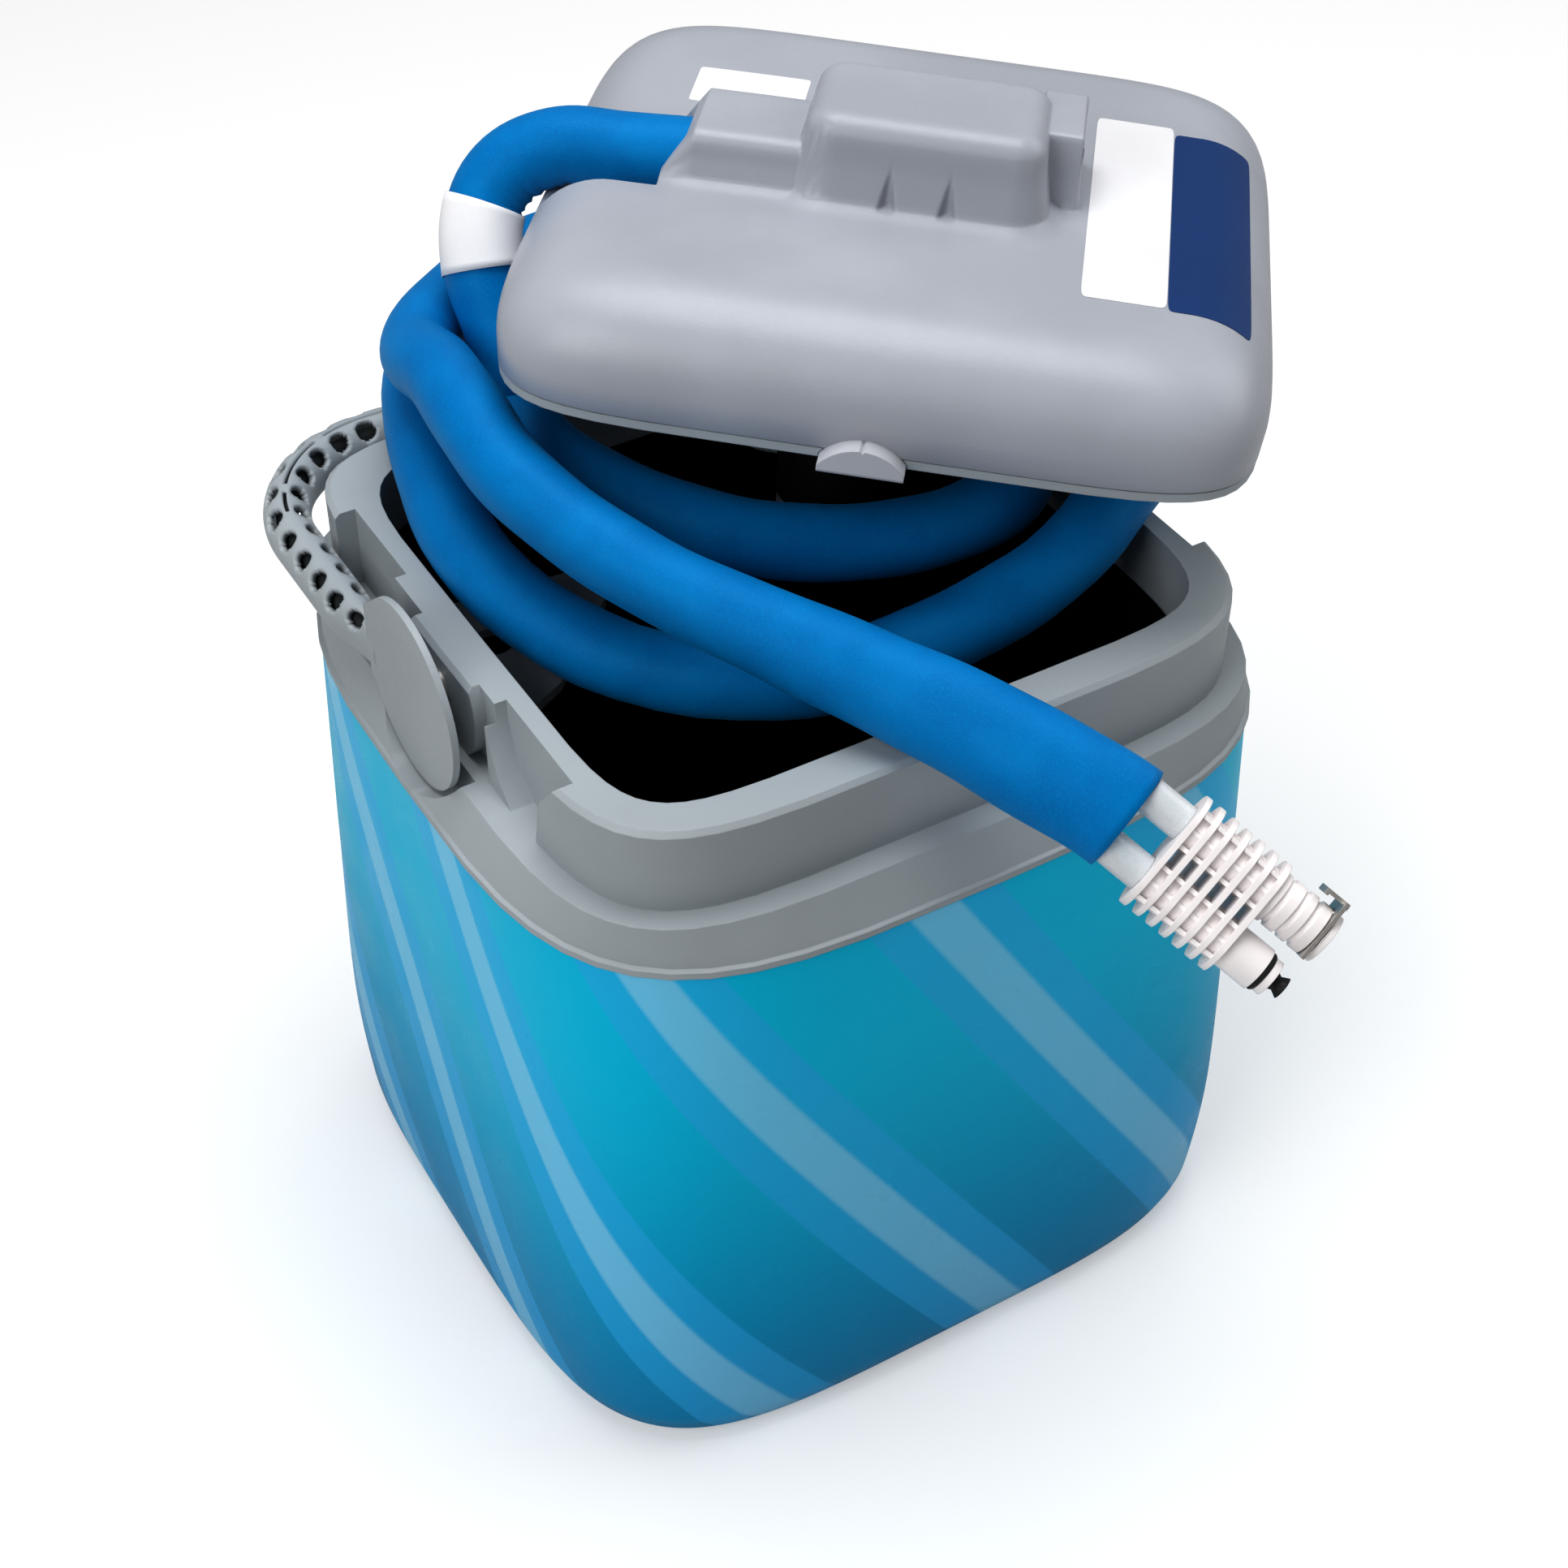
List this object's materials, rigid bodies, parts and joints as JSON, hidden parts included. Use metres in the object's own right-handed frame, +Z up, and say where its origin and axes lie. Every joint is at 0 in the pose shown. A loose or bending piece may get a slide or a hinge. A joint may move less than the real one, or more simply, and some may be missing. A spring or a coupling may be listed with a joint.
{
  "type": "hot cold therapy machine",
  "caption": "Insulated water tub with a printed shell and fold-back carrying handle; its lifted lid carries a pump and a coiled foam-sleeved twin hose ending in a quick coupling.",
  "frame": {"origin": "centre of the tub's underside", "axes": "+Z up, -Y towards the tub's printed front, +X to the front's right"},
  "size_m": [0.3072, 0.3483, 0.3313],
  "materials": {
    "printed_blue": "smooth, printed film",
    "grey_plastic": "fine satin",
    "pale_grey_plastic": "fine satin",
    "black_plastic": "satin",
    "white_plastic": "smooth",
    "white_foam": "cellular",
    "blue_foam": "closed-cell foam, satin",
    "clear_tube": "clear soft tube",
    "steel": "brushed",
    "black_rubber": "soft",
    "paper": "matte paper"
  },
  "bodies": {
    "tub": {"outer_shell": "printed_blue", "base_pad": "black_rubber", "foam_insulation": "white_foam", "inner_liner": "black_plastic", "liner_ledge": "grey_plastic", "rim_collar": "grey_plastic", "pivot_pins": "steel"},
    "handle": {"handle": "grey_plastic"},
    "lid": {"lid_shell": "grey_plastic", "lid_base": "grey_plastic", "lid_foam": "white_foam", "lid_gasket": "black_rubber", "lid_screws": "steel", "lid_tab": "pale_grey_plastic", "power_inlet": "black_plastic", "pump_housing": "black_plastic", "pump_motor": "steel", "pump_cover": "black_plastic", "pump_strainer": "grey_plastic", "supply_tube": "clear_tube", "return_tube": "clear_tube", "hose_gland": "black_plastic", "hose_lead": "blue_foam", "hose_coil": "blue_foam", "hose_end": "blue_foam", "hose_band": "paper", "clear_tubes": "clear_tube", "coupling_grip": "white_plastic", "male_plug": "white_plastic", "plug_ring": "black_rubber", "female_socket": "white_plastic", "socket_cap": "white_plastic"},
    "rotor": {"impeller": "white_plastic", "pump_shaft": "steel"},
    "plug_valve": {"plug_valve": "black_plastic"},
    "socket_valve": {"socket_valve": "black_plastic"},
    "thumb_latch": {"thumb_latch": "steel"}
  },
  "joints": [
    {"name": "handle_swing", "type": "hinge", "parent": "tub", "child": "handle", "pos_m": [0, 0, 0.2245], "axis": [1, 0, 0], "range_deg": [0, 5]},
    {"name": "lid_lift", "type": "slide", "parent": "tub", "child": "lid", "axis": [0, 0, 1], "range_m": [0, 0.15]},
    {"name": "impeller_spin", "type": "hinge", "parent": "lid", "child": "rotor", "pos_m": [0.03495, 0.02597, 0.2313], "axis": [0.1004, 0.011, 0.9949], "continuous": true},
    {"name": "plug_valve_press", "type": "slide", "parent": "lid", "child": "plug_valve", "axis": [-0.4522, 0.7555, 0.4741], "range_m": [0, 0.002], "stiffness_N_per_m": 400},
    {"name": "socket_valve_press", "type": "slide", "parent": "lid", "child": "socket_valve", "axis": [-0.4522, 0.7555, 0.4741], "range_m": [0, 0.002], "stiffness_N_per_m": 400},
    {"name": "latch_press", "type": "slide", "parent": "lid", "child": "thumb_latch", "axis": [-0.7649, -0.055, -0.6418], "range_m": [0, 0.0012], "stiffness_N_per_m": 800}
  ]
}
